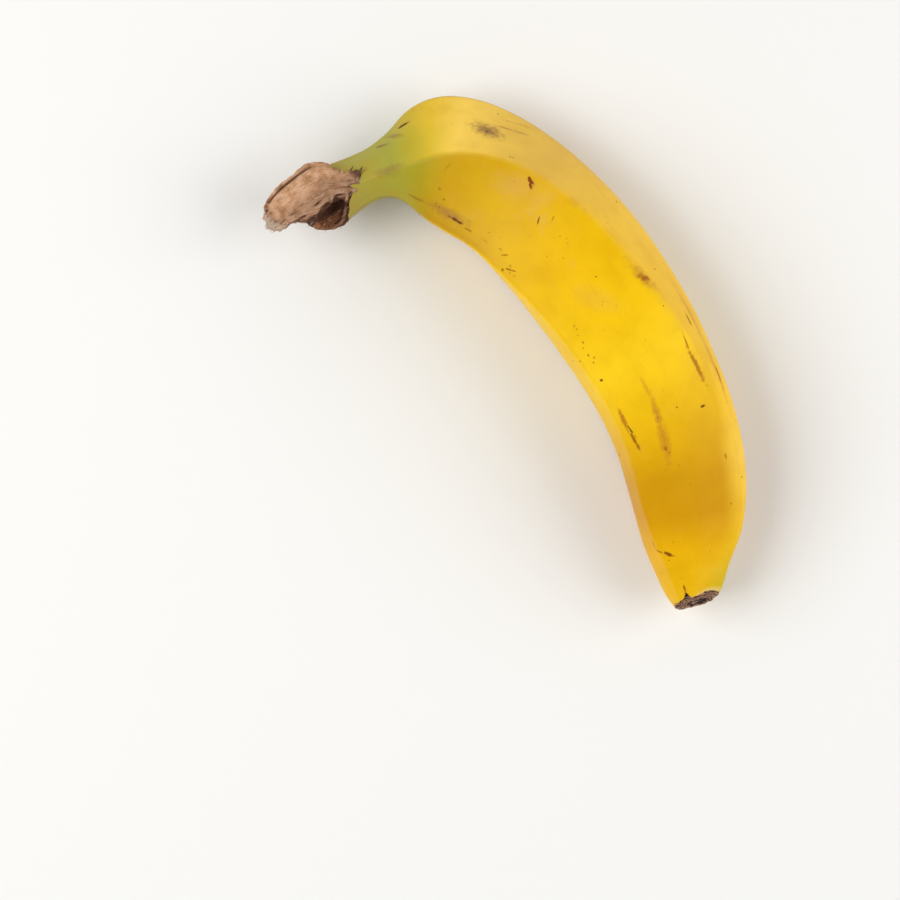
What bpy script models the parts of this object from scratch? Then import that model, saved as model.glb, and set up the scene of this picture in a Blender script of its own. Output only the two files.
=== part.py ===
"""A ripe Cavendish banana lying on its side: one fruit, from the torn dry crown scrap to the blossom scar.

Metres, +Z up. +X runs from the stalk to the blossom end, +Y is the outer side of the bend. The origin is on
the surface that the fruit lies on, under the middle of its box.
"""

import math

import bmesh
import bpy
from mathutils import Vector

MM = 0.001

# The fruit's spine starts inside the crown, at the stalk's torn end. Each station gives, in millimetres and
# degrees: the distance along the spine, its heading from +X in plan, half the width across the bend, half the
# height, and the height of the spine above the surface.
SPINE_START = (-69.7, -5.3)
STATIONS = (
    (0.0, 75.0, 9.6, 8.3, 17.0),
    (3.0, 75.0, 8.7, 7.9, 17.1),
    (11.0, 70.0, 7.6, 7.4, 17.4),
    (17.0, 65.5, 8.0, 8.3, 17.8),
    (23.0, 59.0, 10.9, 11.2, 18.0),
    (28.0, 53.0, 15.9, 14.6, 18.2),
    (34.0, 44.0, 19.6, 17.6, 18.6),
    (41.0, 31.0, 20.6, 19.2, 19.1),
    (49.0, 17.0, 20.6, 19.6, 19.5),
    (63.0, 4.6, 20.7, 19.7, 19.7),
    (79.0, -2.6, 20.9, 19.7, 19.7),
    (97.0, -9.2, 20.7, 19.5, 19.5),
    (115.0, -14.2, 20.0, 19.0, 19.0),
    (133.0, -20.0, 19.0, 18.1, 18.1),
    (149.0, -28.2, 18.2, 17.2, 17.2),
    (161.0, -35.5, 17.5, 16.3, 16.3),
    (171.0, -39.8, 16.2, 15.1, 15.1),
    (180.0, -40.6, 14.3, 13.2, 14.6),
    (188.0, -39.6, 11.5, 10.7, 15.0),
    (193.5, -39.0, 9.4, 8.7, 15.8),
)
PEEL_LENGTH = STATIONS[-1][0]
SPINE_STEP = 0.5
RING_STEP = 3.0

# The five ridges of the peel: each has its angle round the spine, from the outer side over the top, at a few
# distances along it. The ridges of the outer side swing round the shoulder and run together near the tip.
RIDGES = (
    ((0.0, 10.0), (33.0, 0.0), (83.0, 6.0), (123.0, 18.0), (173.0, 26.0)),
    ((0.0, 86.0), (33.0, 82.0), (58.0, 60.0), (83.0, 48.0), (128.0, 44.0), (153.0, 36.0), (173.0, 33.0)),
    ((0.0, 150.0), (33.0, 139.0), (73.0, 136.0), (113.0, 128.0), (173.0, 124.0)),
    ((0.0, 220.0), (38.0, 223.0), (103.0, 222.0), (168.0, 230.0)),
    ((0.0, 300.0), (38.0, 306.0), (103.0, 301.0), (168.0, 304.0)),
)
RIDGE_POWER = 9.0
FACETING = 0.62
POINTS_PER_FACE = 7

# The stalk flows into the shoulder: between these distances each point is the mean of its neighbours along the
# peel. The rings crowd together on the inner side of the bend, so the mean reaches further there.
SHOULDER = (10.0, 74.0)
OUTER_REACH = 3.0
INNER_REACH = 15.0
FLOW_WEIGHTS = (1.0, 2.0, 3.0, 2.0, 1.0)

# The fruit settles on three low pads, spaced evenly along the belly.
FIRST_PAD = 42.0
PAD_PITCH = 63.0
PAD_SAG = 0.45

# The rim of the blossom end stands further out on the inner side and below, as slopes from square, and it
# takes on that slant over its last stretch.
RIM_SLANT = (0.16, 0.14)
RIM_STRETCH = 22.0

# The blossom scar: a dry stub inside the peel's rim, as (distance past the rim, share of the rim's size).
SCAR_PROFILE = ((0.8, 0.94), (0.9, 0.82), (2.2, 0.78), (2.9, 0.68), (2.6, 0.42), (2.0, 0.16))

# The torn tongue of crown over the stalk's end. Each station gives its outer and inner edges in plan, and the
# heights of its underside and its top.
TONGUE_STATIONS = (
    (-70.4, 7.6, -67.4, 8.2, 21.5, 25.6),
    (-74.4, 2.8, -65.3, 4.0, 15.0, 26.4),
    (-80.2, -1.2, -64.6, -3.4, 9.5, 26.8),
    (-82.5, -8.0, -66.6, -10.0, 9.0, 26.6),
    (-82.8, -15.2, -69.8, -16.6, 12.5, 25.6),
    (-81.0, -21.0, -72.6, -22.0, 17.0, 24.4),
    (-77.4, -24.6, -74.6, -25.0, 20.5, 23.2),
)
TONGUE_RINGS = 21
TONGUE_POINTS = 24
TOP_SQUARENESS = 0.62
KEEL_SQUARENESS = 1.15
EDGE_HEIGHT = 0.7

# The stalk's torn end below the tongue, as (distance before the start, share of the start's size), and the
# hollow torn out of its inner side.
STALK_END = ((9.6, 0.18), (9.2, 0.44), (7.8, 0.66), (5.4, 0.84), (2.6, 0.95))
HOLLOW_CENTRE = (-65.6, -7.4, 20.4)
HOLLOW_RADII = (3.2, 3.8, 7.6)
HOLLOW_TURN = -14.0

# The middle of the fruit's box in plan, which becomes the origin.
BOX_MIDDLE = (6.5, 15.4)


def through(rows, at):
    """The row at a distance along, on a smooth curve through rows of (distance, value, ...)."""
    last = len(rows) - 2
    index = 0
    while index < last and at > rows[index + 1][0]:
        index += 1
    before = rows[max(index - 1, 0)]
    start = rows[index]
    end = rows[index + 1]
    after = rows[min(index + 2, len(rows) - 1)]
    span = end[0] - start[0]
    t = min(max((at - start[0]) / span, 0.0), 1.0)
    values = []
    for k in range(1, len(start)):
        slope_in = (end[k] - before[k]) / (end[0] - before[0]) * span
        slope_out = (after[k] - start[k]) / (after[0] - start[0]) * span
        rise = end[k] - start[k]
        bend = 3.0 * rise - 2.0 * slope_in - slope_out
        twist = slope_in + slope_out - 2.0 * rise
        values.append(start[k] + slope_in * t + bend * t * t + twist * t ** 3)
    return values


def spine_points():
    """The spine in plan, a point at each step, from its headings added up."""
    x, y = SPINE_START
    points = [Vector((x, y, 0.0))]
    for k in range(round(PEEL_LENGTH / SPINE_STEP)):
        heading = math.radians(through(STATIONS, (k + 0.5) * SPINE_STEP)[0])
        x += SPINE_STEP * math.cos(heading)
        y += SPINE_STEP * math.sin(heading)
        points.append(Vector((x, y, 0.0)))
    return points


SPINE = spine_points()


def spine_point(at):
    """The spine's point at a distance along it, in millimetres."""
    steps = at / SPINE_STEP
    index = min(int(steps), len(SPINE) - 2)
    point = SPINE[index].lerp(SPINE[index + 1], steps - index)
    point.z = through(STATIONS, at)[3]
    return point


def spine_frame(at):
    """The spine's point and its directions: along, to the outer side, and up."""
    low = max(at - SPINE_STEP, 0.0)
    high = min(at + SPINE_STEP, PEEL_LENGTH)
    along = (spine_point(high) - spine_point(low)).normalized()
    outward = Vector((0.0, 0.0, 1.0)).cross(along).normalized()
    return spine_point(at), along, outward, along.cross(outward)


def section(at):
    """The peel's outline across the spine: a soft polygon with a corner at each ridge, as (outward, up)."""
    corners = [math.radians(through(ridge, at)[0]) for ridge in RIDGES]
    corners.append(corners[0] + 2.0 * math.pi)
    faces = [((a + b) / 2.0, math.cos((b - a) / 2.0)) for a, b in zip(corners, corners[1:])]
    points = []
    for a, b in zip(corners, corners[1:]):
        for k in range(POINTS_PER_FACE):
            angle = a + (b - a) * k / POINTS_PER_FACE
            press = sum(max(math.cos(angle - normal) / depth, 0.0) ** RIDGE_POWER for normal, depth in faces)
            radius = 1.0 - FACETING * (1.0 - press ** (-1.0 / RIDGE_POWER))
            points.append((radius * math.cos(angle), radius * math.sin(angle)))
    return points


def fitted(points, half_width, half_height):
    """The outline stretched to its true width and height about the spine."""
    spans = []
    for k, half in ((0, half_width), (1, half_height)):
        values = [point[k] for point in points]
        middle = (min(values) + max(values)) / 2.0
        spans.append((middle, half / (max(values) - middle)))
    (mid_y, scale_y), (mid_z, scale_z) = spans
    return [((y - mid_y) * scale_y, (z - mid_z) * scale_z) for y, z in points]


def sag(at):
    """How far the belly dips below its line: lowest at the three pads."""
    from_first = (at - FIRST_PAD) / PAD_PITCH
    inside = -0.5 < from_first < 2.5
    return PAD_SAG * math.cos(2.0 * math.pi * from_first) if inside else -PAD_SAG


def bare_ring(at, share=1.0, past=0.0):
    """One closed ring of points round the spine, before it is smoothed or settled."""
    half_width, half_height = through(STATIONS, at)[1:3]
    centre, along, outward, up = spine_frame(at)
    slant = max(1.0 - (PEEL_LENGTH - at) / RIM_STRETCH, 0.0) ** 2
    ring = []
    for y, z in fitted(section(at), half_width * share, half_height * share):
        reach = past - slant * (RIM_SLANT[0] * y + RIM_SLANT[1] * z)
        ring.append(centre + along * reach + outward * y + up * z)
    return ring


def between(rings, place, k):
    """Point k at a place between two rings, such as 4.5."""
    place = min(max(place, 0.0), len(rings) - 1.001)
    index = int(place)
    return rings[index][k].lerp(rings[index + 1][k], place - index)


def flowed(rings, step):
    """The rings, a step apart, with the stalk smoothed into the shoulder."""
    smooth = []
    for index, ring in enumerate(rings):
        at = index * step
        share = min(max((at - SHOULDER[0]) / (SHOULDER[1] - SHOULDER[0]), 0.0), 1.0)
        calm = math.sin(math.pi * share) ** 2
        centre, _, outward, _ = spine_frame(at)
        half_width = through(STATIONS, at)[1]
        row = []
        for k, point in enumerate(ring):
            inner = 0.5 - 0.5 * (point - centre).dot(outward) / half_width
            reach = calm * (OUTER_REACH + (INNER_REACH - OUTER_REACH) * inner) / step
            mean = Vector((0.0, 0.0, 0.0))
            for j, weight in enumerate(FLOW_WEIGHTS):
                mean += between(rings, index + (j / 2.0 - 1.0) * reach, k) * weight
            row.append(mean / sum(FLOW_WEIGHTS))
        smooth.append(row)
    return smooth


def settled(ring, at):
    """The ring with its belly's dip, resting no lower than the surface it lies on."""
    lower = Vector((0.0, 0.0, sag(at)))
    points = [point - lower for point in ring]
    for point in points:
        point.z = max(point.z, 0.0)
    return points


def loft(name, rings):
    """A closed mesh object through the rings, with its first and last ring filled."""
    mesh = bmesh.new()
    shift = Vector((BOX_MIDDLE[0], BOX_MIDDLE[1], 0.0))
    rows = [[mesh.verts.new((point - shift) * MM) for point in ring] for ring in rings]
    for row, following in zip(rows, rows[1:]):
        for k in range(len(row)):
            after = (k + 1) % len(row)
            mesh.faces.new((row[k], row[after], following[after], following[k]))
    mesh.faces.new(rows[0][::-1])
    mesh.faces.new(rows[-1])
    bmesh.ops.recalc_face_normals(mesh, faces=mesh.faces)
    return mesh_object(name, mesh)


def ellipsoid(name, centre, radii, turn):
    """A sphere stretched to three radii and turned about the vertical."""
    mesh = bmesh.new()
    bmesh.ops.create_uvsphere(mesh, u_segments=20, v_segments=12, radius=1.0)
    bmesh.ops.scale(mesh, vec=Vector(radii) * MM, verts=mesh.verts)
    angle = math.radians(turn)
    for vert in mesh.verts:
        x, y, z = vert.co
        vert.co.x = x * math.cos(angle) - y * math.sin(angle) + (centre[0] - BOX_MIDDLE[0]) * MM
        vert.co.y = x * math.sin(angle) + y * math.cos(angle) + (centre[1] - BOX_MIDDLE[1]) * MM
        vert.co.z = z + centre[2] * MM
    return mesh_object(name, mesh)


def mesh_object(name, mesh):
    data = bpy.data.meshes.new(name)
    mesh.to_mesh(data)
    mesh.free()
    return bpy.data.objects.new(name, data)


def peel_material():
    """Ripe banana peel: waxy, between satin and gloss, a warm yellow."""
    material = bpy.data.materials.new("banana peel")
    material.use_nodes = True
    shader = material.node_tree.nodes["Principled BSDF"]
    shader.inputs["Base Color"].default_value = (0.85, 0.56, 0.03, 1.0)
    shader.inputs["Roughness"].default_value = 0.42
    shader.inputs["Metallic"].default_value = 0.0
    return material


def make_fruit():
    """The peel from the stalk's torn end to the rim of the blossom end, and the scar's stub inside the rim."""
    count = round(PEEL_LENGTH / RING_STEP)
    step = PEEL_LENGTH / count
    peel = flowed([bare_ring(step * k) for k in range(count + 1)], step)
    rings = [settled(bare_ring(0.0, share, -before), 0.0) for before, share in STALK_END]
    rings += [settled(ring, step * k) for k, ring in enumerate(peel)]
    rings += [settled(bare_ring(PEEL_LENGTH, share, past), PEEL_LENGTH) for past, share in SCAR_PROFILE]
    return loft("banana", rings)


def make_tongue():
    """The torn tongue of crown: broad and nearly flat above, keeled below, thinning to its far end."""
    rows = [(float(k),) + station for k, station in enumerate(TONGUE_STATIONS)]
    rings = []
    for k in range(TONGUE_RINGS + 1):
        at = (len(rows) - 1) * k / TONGUE_RINGS
        outer_x, outer_y, inner_x, inner_y, low, high = through(rows, at)
        outer = Vector((outer_x, outer_y, 0.0))
        inner = Vector((inner_x, inner_y, 0.0))
        ring = []
        for j in range(TONGUE_POINTS):
            angle = 2.0 * math.pi * j / TONGUE_POINTS
            rise = math.sin(angle)
            squareness = TOP_SQUARENESS if rise > 0.0 else KEEL_SQUARENESS
            point = outer.lerp(inner, 0.5 - 0.5 * math.cos(angle))
            edge = low + (high - low) * EDGE_HEIGHT
            reach = high - edge if rise > 0.0 else edge - low
            point.z = edge + math.copysign(abs(rise) ** squareness, rise) * reach
            ring.append(point)
        rings.append(ring)
    return loft("crown tongue", rings)


def combine(target, other, operation, name):
    step = target.modifiers.new(name, "BOOLEAN")
    step.operation = operation
    step.object = other
    step.solver = "EXACT"


def hide(helper):
    helper.hide_render = True
    helper.display_type = "WIRE"


def main():
    for item in list(bpy.data.objects):
        bpy.data.objects.remove(item)
    whole = bpy.data.collections.new("cavendish banana")
    helpers = bpy.data.collections.new("helpers")
    bpy.context.scene.collection.children.link(whole)
    bpy.context.scene.collection.children.link(helpers)

    banana = make_fruit()
    banana.data.materials.append(peel_material())
    whole.objects.link(banana)

    tongue = make_tongue()
    hollow = ellipsoid("stalk hollow", HOLLOW_CENTRE, HOLLOW_RADII, HOLLOW_TURN)
    for helper in (tongue, hollow):
        helpers.objects.link(helper)
        hide(helper)

    combine(banana, hollow, "DIFFERENCE", "hollow")
    combine(banana, tongue, "UNION", "tongue")
    banana.data.shade_smooth()


main()
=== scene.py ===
# %% [markdown]
# # A ripe Cavendish banana
# One banana lies on its side, seen from straight above: a curved body with five soft ridges, a slim green
# neck, a torn dry scrap of the hand's crown at one end and a dry blossom scar at the other. The solid model
# gives its size and form. This lesson builds the surface that the eye sees: peel, crown and scar.

import math
from functools import partial

import bmesh
import bpy
import numpy as np
from mathutils import Matrix, Vector, kdtree, noise
from mathutils.bvhtree import BVHTree


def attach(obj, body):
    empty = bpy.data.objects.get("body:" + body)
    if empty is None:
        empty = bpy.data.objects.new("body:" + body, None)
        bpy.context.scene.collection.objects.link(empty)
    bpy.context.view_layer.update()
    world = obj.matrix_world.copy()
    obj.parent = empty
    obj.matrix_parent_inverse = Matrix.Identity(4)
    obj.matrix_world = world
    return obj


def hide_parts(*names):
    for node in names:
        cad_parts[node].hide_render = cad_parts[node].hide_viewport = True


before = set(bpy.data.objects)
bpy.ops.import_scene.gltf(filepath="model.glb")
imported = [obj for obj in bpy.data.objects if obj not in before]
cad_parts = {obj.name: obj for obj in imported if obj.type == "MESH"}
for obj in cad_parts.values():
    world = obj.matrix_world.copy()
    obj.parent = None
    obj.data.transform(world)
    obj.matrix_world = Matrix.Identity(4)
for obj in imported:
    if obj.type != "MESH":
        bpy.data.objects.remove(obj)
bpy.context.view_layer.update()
MM = 0.001

# %% [markdown]
# Colours are picked as sRGB hex values, and one function turns them into the linear light that the renderer
# wants. Another adds a node: its settings, its sockets in order or by name, and a colour ramp's stops. A
# socket's value may be a number, a socket, or a node, which means that node's first live output.

# %% Helpers for colours, nodes and objects
def colour(hex_text):
    """An sRGB hex colour as linear RGBA."""
    channels = [int(hex_text[k:k + 2], 16) / 255 for k in (1, 3, 5)]
    return (*[c / 12.92 if c <= 0.04045 else ((c + 0.055) / 1.055) ** 2.4 for c in channels], 1)


def fill(node, sockets):
    """Fills or links a node's live sockets, given in order, or by name or number."""
    live = [socket for socket in node.inputs if socket.enabled]
    for key, value in (sockets.items() if isinstance(sockets, dict) else enumerate(sockets)):
        socket = live[key] if isinstance(key, int) else next(s for s in live if s.name == key)
        if isinstance(value, bpy.types.Node):
            value = next(s for s in value.outputs if s.enabled)
        if isinstance(value, bpy.types.NodeSocket):
            node.id_data.links.new(value, socket)
        else:
            socket.default_value = value


def add_node(tree, kind, sockets=(), stops=(), **settings):
    """Adds a node with its settings, its sockets and, for a colour ramp, its stops."""
    family = "" if kind.startswith(("Geometry", "Function", "NodeGroup")) else "ShaderNode"
    node = tree.nodes.new(family + kind)
    for name, value in settings.items():
        setattr(node, name, value)
    fill(node, sockets)
    for k, (place, value) in enumerate(stops):
        element = node.color_ramp.elements[k] if k < 2 else node.color_ramp.elements.new(place)
        element.position = place
        element.color = colour(value) if isinstance(value, str) else (value, value, value, 1)
    return node


def new_material(name):
    """A new material, a function that adds nodes to it, and its shader."""
    material = bpy.data.materials.new(name)
    material.use_nodes = True
    return material, partial(add_node, material.node_tree), material.node_tree.nodes["Principled BSDF"]


def as_object(name, data):
    """A mesh, light or camera as an object in the scene."""
    item = bpy.data.objects.new(name, data)
    bpy.context.scene.collection.objects.link(item)
    return item


def applied(item):
    """The object with its modifiers made real."""
    result = bpy.data.meshes.new_from_object(item.evaluated_get(bpy.context.evaluated_depsgraph_get()))
    result.name = item.name
    item.modifiers.clear()
    item.data = result
    return item


print("yellow in linear light:", [round(c, 3) for c in colour("#F5C518")])

# %% [markdown]
# The camera looks straight down from 90 cm with a long lens, so the fruit shows almost no perspective, and
# a turn of 45 degrees lays it across the picture. Strong yellow needs the plain display transform: the
# filmic one would wash it out.

# %% Camera
VIEW_CENTRE = (3.26, -48.49, 20)
VIEW_TURN = 45
CAMERA_HEIGHT = 900
LENS = 120

camera_data = bpy.data.cameras.new("camera")
camera_data.lens = LENS
camera_data.clip_start = 0.01
camera = as_object("camera", camera_data)
camera.location = (Vector(VIEW_CENTRE) + Vector((0, 0, CAMERA_HEIGHT))) * MM
camera.rotation_euler = (0, 0, math.radians(VIEW_TURN))
bpy.context.scene.camera = camera
bpy.context.scene.view_settings.view_transform = "Standard"
print("field of view, mm:", round(CAMERA_HEIGHT * camera_data.sensor_width / LENS, 1))

# %% [markdown]
# The light is that of a bright studio: a soft box on the left, a weaker one on the right, and white walls.
# Straight above, the room is dim, so the fruit's top keeps its deep yellow, while the faces that tilt away
# catch a pale sheen. The floor is a plain pale sheet.

# %% Light and floor
SOFT_BOXES = (("key box", (-0.62, -0.62, 0.97), 12.5), ("fill box", (0.7, 0.7, 0.8), 9.5))
SOFT_BOX_SIZE = 1
WALL_GLOW = ((0, 0.8), (0.45, 0.66), (0.75, 0.3), (1, 0.12))
FLOOR_HALF = 1.5

world = bpy.data.worlds.new("white walls")
world.use_nodes = True
sky = world.node_tree
upward = add_node(sky, "SeparateXYZ", (add_node(sky, "TexCoord").outputs["Generated"],)).outputs["Z"]
fill(sky.nodes["Background"], (add_node(sky, "ValToRGB", (upward,), WALL_GLOW),))
bpy.context.scene.world = world

for name, light_place, power in SOFT_BOXES:
    light_data = bpy.data.lights.new(name, "AREA")
    light_data.shape = "SQUARE"
    light_data.size = SOFT_BOX_SIZE
    light_data.energy = power
    light = as_object(name, light_data)
    light.location = light_place
    light.rotation_euler = (-Vector(light_place)).to_track_quat("-Z", "Y").to_euler()

# Matt uncoated paper, pressed from pulp: it has no gloss, so the fruit leaves no mirror image in it.
paper, _, shader = new_material("matt white paper")
fill(shader, {"Base Color": colour("#E9E8E5"), "Roughness": 0.9})
floor_mesh = bpy.data.meshes.new("floor")
floor_corners = [(x * FLOOR_HALF, y * FLOOR_HALF, 0) for x, y in ((-1, -1), (1, -1), (1, 1), (-1, 1))]
floor_mesh.from_pydata(floor_corners, [], [(0, 1, 2, 3)])
floor_mesh.materials.append(paper)
floor = as_object("floor", floor_mesh)
print("soft boxes:", len(SOFT_BOXES), " floor, m:", 2 * FLOOR_HALF)

# %% [markdown]
# A banana is a tube that bends. Its spine is walked in half millimetre steps, each with its own heading.
# The stations give, at a few distances, the heading, half the width, half the height and the spine's
# height, in millimetres and degrees, and a smooth curve runs through them. They are the solid model's own,
# so this finer skin follows it.

# %% The fruit's spine
SPINE_START = (-76.2, -20.7)
STATIONS = (
    (0, 75, 9.6, 8.3, 17), (3, 75, 8.7, 7.9, 17.1), (11, 70, 7.6, 7.4, 17.4), (17, 65.5, 8, 8.3, 17.8),
    (23, 59, 10.9, 11.2, 18), (28, 53, 15.9, 14.6, 18.2), (34, 44, 19.6, 17.6, 18.6),
    (41, 31, 20.6, 19.2, 19.1), (49, 17, 20.6, 19.6, 19.5), (63, 4.6, 20.7, 19.7, 19.7),
    (79, -2.6, 20.9, 19.7, 19.7), (97, -9.2, 20.7, 19.5, 19.5), (115, -14.2, 20, 19, 19),
    (133, -20, 19, 18.1, 18.1), (149, -28.2, 18.2, 17.2, 17.2), (161, -35.5, 17.5, 16.3, 16.3),
    (171, -39.8, 16.2, 15.1, 15.1), (180, -40.6, 14.3, 13.2, 14.6), (188, -39.6, 11.5, 10.7, 15),
    (193.5, -39, 9.4, 8.7, 15.8),
)
PEEL_LENGTH = STATIONS[-1][0]
SPINE_STEP = 0.5


def through(rows, at):
    """Rows of (distance, value, ...) read at many distances, on a smooth curve through the rows."""
    rows = np.array(rows, dtype=float)
    stops, values = rows[:, 0], rows[:, 1:]
    index = np.clip(np.searchsorted(stops, at) - 1, 0, len(stops) - 2)
    before = np.maximum(index - 1, 0)
    after = np.minimum(index + 2, len(stops) - 1)
    span = (stops[index + 1] - stops[index])[:, None]
    t = np.clip((at - stops[index])[:, None] / span, 0, 1)
    rise = values[index + 1] - values[index]
    slope_in = (values[index + 1] - values[before]) / (stops[index + 1] - stops[before])[:, None] * span
    slope_out = (values[after] - values[index]) / (stops[after] - stops[index])[:, None] * span
    bend = 3 * rise - 2 * slope_in - slope_out
    return values[index] + slope_in * t + bend * t ** 2 + (slope_in + slope_out - 2 * rise) * t ** 3


walk = np.arange(SPINE_STEP / 2, PEEL_LENGTH, SPINE_STEP)
headings = np.radians(through(STATIONS, walk)[:, 0])
SPINE_X, SPINE_Y = (start + SPINE_STEP * np.concatenate([[0], np.cumsum(run)])
                    for start, run in zip(SPINE_START, (np.cos(headings), np.sin(headings))))


def spine_points(at):
    """The spine's points at distances along it."""
    places = np.arange(len(SPINE_X)) * SPINE_STEP
    heights = through(STATIONS, at)[:, 3]
    return np.column_stack([np.interp(at, places, SPINE_X), np.interp(at, places, SPINE_Y), heights])


def unit(vectors):
    """The vectors at unit length."""
    return vectors / np.linalg.norm(vectors, axis=-1, keepdims=True)


def spine_frames(at):
    """The spine's points and directions at distances along it: along, to the outer side, and up."""
    ahead = spine_points(np.minimum(at + SPINE_STEP, PEEL_LENGTH))
    along = unit(ahead - spine_points(np.maximum(at - SPINE_STEP, 0)))
    outward = unit(np.cross((0, 0, 1), along))
    return spine_points(at), along, outward, np.cross(along, outward)


print("straight length, mm:", round(math.dist((SPINE_X[0], SPINE_Y[0]), (SPINE_X[-1], SPINE_Y[-1])), 1))

# %% [markdown]
# Cut across, a banana is a soft pentagon: each face bulges, and each ridge is a worn corner. Five flat
# faces are blended with a power mean, which rounds the corners, and the result is eased towards a circle,
# least on the shoulder, where the faces are almost flat. Each ridge wanders round the fruit on a curve of
# its own, and stands out more than on the plain solid.

# %% The section across the fruit
# Each ridge: distance along the fruit and angle round it, in millimetres and degrees.
RIDGES = (
    ((0, 10), (33, 0), (83, 6), (123, 18), (173, 26)),
    ((0, 96), (22, 97), (33, 86), (44, 79), (60, 68), (84, 58), (106, 52), (126, 45), (142, 41), (156, 38),
     (173, 34)),
    ((0, 154), (28, 145), (46, 146), (62, 145), (74, 142), (104, 134), (140, 130), (173, 126)),
    ((0, 220), (38, 223), (103, 222), (168, 230)),
    ((0, 300), (38, 306), (103, 301), (168, 304)),
)
RIDGE_POWER = 17
FACETING = ((0, 0.3), (20, 0.5), (34, 0.88), (58, 0.95), (95, 0.86), (130, 0.75), (165, 0.8), (193.5, 0.5))
POINTS_PER_FACE = 34
RIM_SLANT = (0.16, 0.14)
RIM_STRETCH = 22


def ridge_angles(at):
    """The angle of each ridge round the spine, in radians, with the first one again a turn later."""
    angles = np.radians(np.column_stack([through(ridge, at)[:, 0] for ridge in RIDGES]))
    return np.column_stack([angles, angles[:, 0] + 2 * math.pi])


def round_angles(at):
    """The angle of each point of the rings round the spine, in radians, from each ridge to the next."""
    corners = ridge_angles(at)
    share = np.arange(POINTS_PER_FACE) / POINTS_PER_FACE
    return (corners[:, :-1, None] + np.diff(corners, axis=1)[:, :, None] * share).reshape(len(at), -1)


def sections(at):
    """The outlines across the fruit at unit size, as (outward, up)."""
    corners, angle = ridge_angles(at), round_angles(at)
    turned = angle[:, :, None] - ((corners[:, 1:] + corners[:, :-1]) / 2)[:, None, :]
    flat = np.cos(np.diff(corners, axis=1) / 2)[:, None, :]
    press = np.maximum(np.cos(turned) / flat, 0) ** RIDGE_POWER
    radius = 1 - through(FACETING, at) * (1 - press.sum(axis=2) ** (-1 / RIDGE_POWER))
    return radius * np.cos(angle), radius * np.sin(angle)


def fitted(values, half):
    """One side of the outline, stretched to its true half width about its middle."""
    middle = (values.min(axis=1) + values.max(axis=1)) / 2
    return (values - middle[:, None]) * (half / (values.max(axis=1) - middle))[:, None]


def bare_rings(at, share=1, past=0):
    """Closed rings round the spine, by distance, share of full size and push along it."""
    half = through(STATIONS, at)
    centre, along, outward, up = spine_frames(at)
    y, z = (fitted(side, half[:, k])[:, :, None] * share for k, side in enumerate(sections(at), 1))
    slant = np.maximum(1 - (PEEL_LENGTH - at) / RIM_STRETCH, 0)[:, None, None] ** 2
    reach = np.atleast_2d(past)[:, :, None] - slant * (RIM_SLANT[0] * y + RIM_SLANT[1] * z)
    return centre[:, None] + along[:, None] * reach + outward[:, None] * y + up[:, None] * z


print("points round the fruit:", POINTS_PER_FACE * len(RIDGES))

# %% [markdown]
# Inside the tight bend from stalk to shoulder the rings crowd together and would fold into a crease. So
# each point there becomes the mean of its neighbours along the peel, with a longer reach inside the bend
# than outside. Last, the belly settles on three low flats, as a soft fruit does.

# %% The body: rings that flow from stalk to tip
RING_PITCH = 0.6
SHOULDER = (10, 74)
OUTER_REACH = 3
INNER_REACH = 15
FLOW_WEIGHTS = (1, 2, 3, 2, 1)
FIRST_PAD = 42
PAD_PITCH = 63
PAD_SAG = 0.45


def slid(rings, places):
    """The rings with each point moved along its own line to a fractional ring number."""
    places = np.clip(places, 0, len(rings) - 1.001)
    low = places.astype(int)
    blend = (places - low)[:, :, None]
    column = np.arange(rings.shape[1])
    return rings[low, column] * (1 - blend) + rings[low + 1, column] * blend


def flowed(rings, at):
    """The rings, evenly spaced, with the stalk smoothed into the shoulder."""
    share = np.clip((at - SHOULDER[0]) / (SHOULDER[1] - SHOULDER[0]), 0, 1)
    calm = np.sin(math.pi * share)[:, None] ** 2
    centre, _, outward, _ = spine_frames(at)
    side = np.einsum("rpc,rc->rp", rings - centre[:, None], outward) / through(STATIONS, at)[:, 1:2]
    reach = calm * (OUTER_REACH + (INNER_REACH - OUTER_REACH) * (0.5 - 0.5 * side)) / (at[1] - at[0])
    own = np.arange(len(at))[:, None]
    layers = [weight * slid(rings, own + (j / 2 - 1) * reach) for j, weight in enumerate(FLOW_WEIGHTS)]
    return sum(layers) / sum(FLOW_WEIGHTS)


def settled(rings, at):
    """The rings with the belly's dip, no lower than the surface that the fruit lies on."""
    from_first = (at - FIRST_PAD) / PAD_PITCH
    inside = (from_first > -0.5) & (from_first < 2.5)
    rings = rings.copy()
    rings[:, :, 2] -= np.where(inside, PAD_SAG * np.cos(2 * math.pi * from_first), -PAD_SAG)[:, None]
    rings[:, :, 2] = np.maximum(rings[:, :, 2], 0)
    return rings


distances = np.linspace(0, PEEL_LENGTH, round(PEEL_LENGTH / RING_PITCH) + 1)
body = settled(flowed(bare_rings(distances), distances), distances)
print("rings:", len(distances), " height, mm:", round(float(body[:, :, 2].max()), 1))

# %% [markdown]
# The skin is a closed mesh of quads with a pole at each end. At the crown it ends in a ragged tear, further
# back on top, where the crown's tongue pulled it away, and it lines the tear for a little way. At the tip
# it narrows to a thin lip with one notch, turns over, and closes under the scar.

# %% The skin's two ends: a ragged tear and a turned lip
# The tear: how far back the skin ends, in millimetres, by the angle round the stalk in degrees.
TEAR = ((0, 0.8), (50, 3.5), (80, 6.4), (98, 8.2), (108, 7.8), (122, 5.6), (146, 3.4), (180, 1.3),
        (220, 0.6), (360, 0.8))
TEAR_RAGGEDNESS = 0.5
TEAR_FADE = 15
TEAR_LINING = ((12, 0.1), (11, 0.8), (7, 0.9), (3, 0.94), (0, 0.97))
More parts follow.
